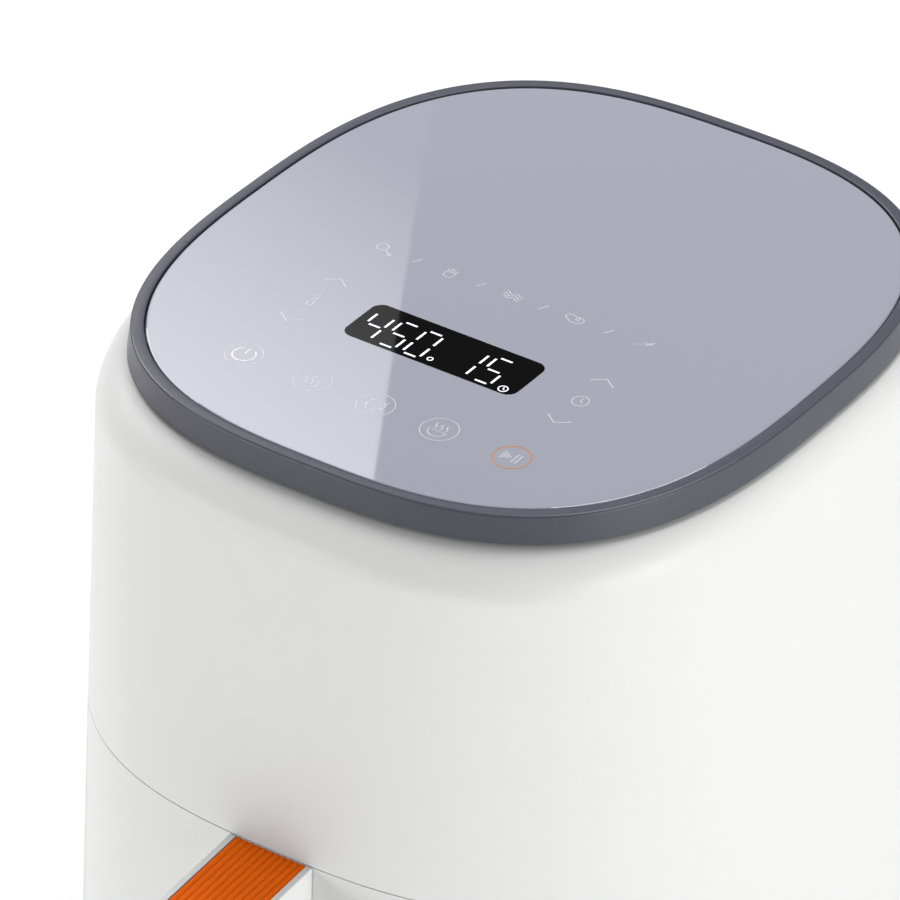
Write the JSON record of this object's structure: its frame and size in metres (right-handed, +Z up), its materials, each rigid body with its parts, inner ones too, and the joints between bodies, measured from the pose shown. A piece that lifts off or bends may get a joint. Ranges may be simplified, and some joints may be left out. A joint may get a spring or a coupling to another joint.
{
  "type": "air fryer",
  "caption": "Rounded countertop air fryer with a slate touch top, pull-out basket drawer, hooked handle with ribbed inlay, lift-out crisper plate and spinning fans.",
  "frame": {"origin": "centre of the bounding box in plan, on the surface that the feet stand on", "axes": "+Z up, -Y towards the user (the drawer pulls out along -Y), +X to the object's right as seen from its front"},
  "size_m": [0.277, 0.3646, 0.308],
  "materials": {
    "aluminised_steel": "bright aluminised sheet",
    "black_plastic": "satin black moulded plastic",
    "bronze": "sintered bronze",
    "ceramic": "unglazed off-white ceramic",
    "circuit_board": "green solder mask",
    "copper": "enamelled copper winding",
    "element_metal": "dark heat-tinted sheath",
    "nonstick_coating": "dark satin non-stick coating on steel",
    "orange_inlay": "satin orange, ribbed along its length",
    "rubber": "matt black silicone rubber",
    "slate_ring": "satin slate-grey moulded plastic",
    "steel": "plain brushed steel",
    "top_glass": "polished slate-grey toughened panel, opaque from behind",
    "white_body": "fine-grained matt white moulded plastic"
  },
  "bodies": {
    "housing": {"outer_housing": "white_body", "top_ring": "slate_ring", "glass_panel": "top_glass", "display_module": "black_plastic", "touch_board": "circuit_board", "electronics_tray": "black_plastic", "power_board": "circuit_board", "relay": "black_plastic", "transformer": "steel", "motor_bracket": "steel", "motor_stator": "steel", "motor_coil": "copper", "lower_bearing": "bronze", "upper_bearing": "bronze", "bearing_bridge": "steel", "heat_shield": "aluminised_steel", "heater_dome": "aluminised_steel", "heating_element": "element_metal", "heater_terminal_left": "ceramic", "heater_terminal_right": "ceramic", "heater_grille": "steel", "temperature_probe": "steel", "thermal_cutout": "black_plastic", "cavity_liner": "aluminised_steel", "front_frame": "black_plastic", "left_rail": "steel", "right_rail": "steel", "base_plate": "white_body", "base_screw_1": "steel", "base_screw_2": "steel", "base_screw_3": "steel", "base_screw_4": "steel", "foot_1": "rubber", "foot_2": "rubber", "foot_3": "rubber", "foot_4": "rubber", "rear_vent_grille": "white_body", "cord_gland": "black_plastic", "drawer_switch": "black_plastic"},
    "rotor": {"motor_shaft": "steel", "rotor_core": "steel", "cooling_fan": "black_plastic", "convection_fan": "aluminised_steel", "fan_nut": "steel"},
    "drawer": {"basket": "nonstick_coating", "drawer_front": "white_body", "drawer_inner_cover": "black_plastic", "basket_bracket": "steel", "handle": "white_body", "handle_inlay": "orange_inlay", "handle_screw_left": "steel", "handle_screw_right": "steel"},
    "crisper": {"crisper_plate": "nonstick_coating", "plate_knob": "steel", "plate_foot_1": "rubber", "plate_foot_2": "rubber", "plate_foot_3": "rubber", "plate_foot_4": "rubber"},
    "switch": {"switch_plunger": "white_body"}
  },
  "joints": [
    {"name": "fan_spin", "type": "hinge", "parent": "housing", "child": "rotor", "pos_m": [0, 0.016, 0.22], "axis": [0, 0, 1], "continuous": true},
    {"name": "drawer_pull", "type": "slide", "parent": "housing", "child": "drawer", "axis": [0, -1, 0], "range_m": [0, 0.262]},
    {"name": "crisper_lift", "type": "slide", "parent": "drawer", "child": "crisper", "axis": [0, 0, 1], "range_m": [0, 0.105]},
    {"name": "switch_press", "type": "slide", "parent": "housing", "child": "switch", "axis": [0, 1, 0], "range_m": [0, 0.0015], "stiffness_N_per_m": 200, "springref_m": -0.001}
  ]
}
